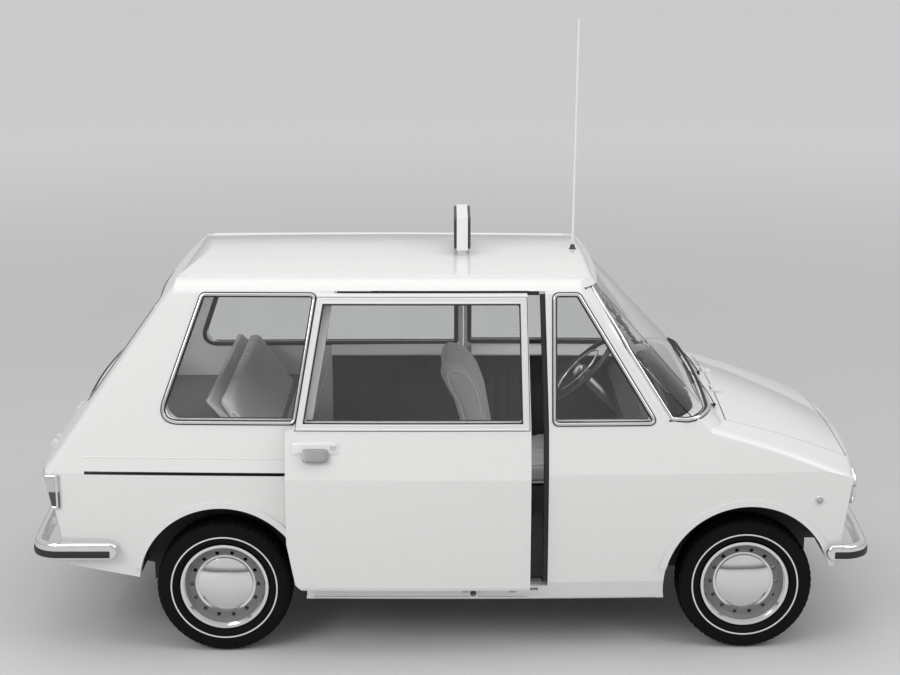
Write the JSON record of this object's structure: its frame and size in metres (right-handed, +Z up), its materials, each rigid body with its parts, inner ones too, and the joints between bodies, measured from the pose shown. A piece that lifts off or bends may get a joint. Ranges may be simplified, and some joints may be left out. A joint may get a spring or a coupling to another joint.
{
  "type": "taxi",
  "caption": "Small one-box taxi: sliding side door, hinged driver door, raked windscreen, sloping tail, roof sign, steered front wheels and rear engine.",
  "frame": {"origin": "on the ground midway between the bumpers, on the centreline of the body", "axes": "+X forward, +Y to the left of the driver, +Z up"},
  "size_m": [3.2768, 1.581, 2.407],
  "materials": {
    "body_paint": "gloss off-white paint",
    "underbody": "dark sealed underbody paint",
    "clear_glass": "clear toughened glass",
    "bright_metal": "polished chrome",
    "lamp_lens": "moulded lens",
    "bare_steel": "machined steel",
    "black_steel": "black chassis paint",
    "engine_alloy": "cast alloy",
    "wheel_paint": "bright wheel paint",
    "tyre": "black rubber",
    "dark_plastic": "grained dark plastic",
    "seat_cloth": "ribbed grey seat cover",
    "sign_plastic": "blank white moulding"
  },
  "bodies": {
    "shell": {"aerial": "bright_metal", "bumper_front": "bright_metal", "bumper_rear": "bright_metal", "dashboard": "dark_plastic", "driver_seat_cushion": "seat_cloth", "driver_seat_frame": "black_steel", "engine": "engine_alloy", "exhaust": "bare_steel", "floor_pan": "underbody", "front_bulkhead": "underbody", "front_lamps": "lamp_lens", "front_quarter_left": "body_paint", "front_quarter_right": "body_paint", "front_suspension": "black_steel", "nose_panel": "body_paint", "rear_bench_base": "black_steel", "rear_bench_cushion": "seat_cloth", "rear_bulkhead": "underbody", "rear_quarter_left": "body_paint", "rear_quarter_right": "body_paint", "rear_suspension": "black_steel", "rear_window": "clear_glass", "roof": "body_paint", "roof_sign": "sign_plastic", "scuttle": "body_paint", "side_glass": "clear_glass", "sills": "body_paint", "steering_column": "bare_steel", "tail_lamps": "lamp_lens", "tail_panel": "body_paint", "wheel_tubs": "underbody", "windscreen": "clear_glass"},
    "sliding_door": {"sliding_door": "body_paint", "sliding_door_glass": "clear_glass", "sliding_door_handle": "bright_metal", "sliding_door_carriers": "bare_steel"},
    "driver_door": {"driver_door": "body_paint", "driver_door_glass": "clear_glass", "driver_door_fittings": "bright_metal"},
    "bonnet": {"bonnet": "body_paint"},
    "engine_lid": {"engine_lid": "body_paint"},
    "steering_wheel": {"steering_wheel": "dark_plastic"},
    "knuckle_left": {"knuckle_left": "bare_steel"},
    "knuckle_right": {"knuckle_right": "bare_steel"},
    "wheel_front_left": {"wheel_front_left": "wheel_paint", "tyre_front_left": "tyre"},
    "wheel_front_right": {"wheel_front_right": "wheel_paint", "tyre_front_right": "tyre"},
    "wheel_rear_left": {"wheel_rear_left": "wheel_paint", "tyre_rear_left": "tyre"},
    "wheel_rear_right": {"wheel_rear_right": "wheel_paint", "tyre_rear_right": "tyre"}
  },
  "joints": [
    {"name": "sliding_door_slide", "type": "slide", "parent": "shell", "child": "sliding_door", "axis": [-1, 0, 0], "range_m": [0, 0.56]},
    {"name": "driver_door_hinge", "type": "hinge", "parent": "shell", "child": "driver_door", "pos_m": [0.797, 0.731, 0.6], "axis": [0, 0, -1], "range_deg": [0, 65]},
    {"name": "bonnet_hinge", "type": "hinge", "parent": "shell", "child": "bonnet", "pos_m": [1.0705, 0, 0.9264], "axis": [0, -1, 0], "range_deg": [0, 55]},
    {"name": "engine_lid_hinge", "type": "hinge", "parent": "shell", "child": "engine_lid", "pos_m": [-1.598, 0, 0.733], "axis": [0, 1, 0], "range_deg": [0, 70]},
    {"name": "steer_left", "type": "hinge", "parent": "shell", "child": "knuckle_left", "pos_m": [1.15, 0.513, 0.265], "axis": [0, 0, 1], "range_deg": [-30, 30]},
    {"name": "steer_right", "type": "hinge", "parent": "shell", "child": "knuckle_right", "pos_m": [1.15, -0.513, 0.265], "axis": [0, 0, 1], "range_deg": [-30, 30]},
    {"name": "steering_wheel_turn", "type": "hinge", "parent": "shell", "child": "steering_wheel", "pos_m": [0.56, 0.3, 0.88], "axis": [-0.7071, 0, 0.7071], "range_deg": [-480, 480]},
    {"name": "wheel_front_left_spin", "type": "hinge", "parent": "knuckle_left", "child": "wheel_front_left", "pos_m": [1.15, 0.573, 0.265], "axis": [0, 1, 0], "continuous": true},
    {"name": "wheel_front_right_spin", "type": "hinge", "parent": "knuckle_right", "child": "wheel_front_right", "pos_m": [1.15, -0.573, 0.265], "axis": [0, 1, 0], "continuous": true},
    {"name": "wheel_rear_left_spin", "type": "hinge", "parent": "shell", "child": "wheel_rear_left", "pos_m": [-0.877, 0.606, 0.265], "axis": [0, 1, 0], "continuous": true},
    {"name": "wheel_rear_right_spin", "type": "hinge", "parent": "shell", "child": "wheel_rear_right", "pos_m": [-0.877, -0.606, 0.265], "axis": [0, 1, 0], "continuous": true}
  ],
  "couplings": [
    {"joint": "steer_right", "follows": "steer_left", "ratio": 1},
    {"joint": "steering_wheel_turn", "follows": "steer_left", "ratio": 16}
  ]
}
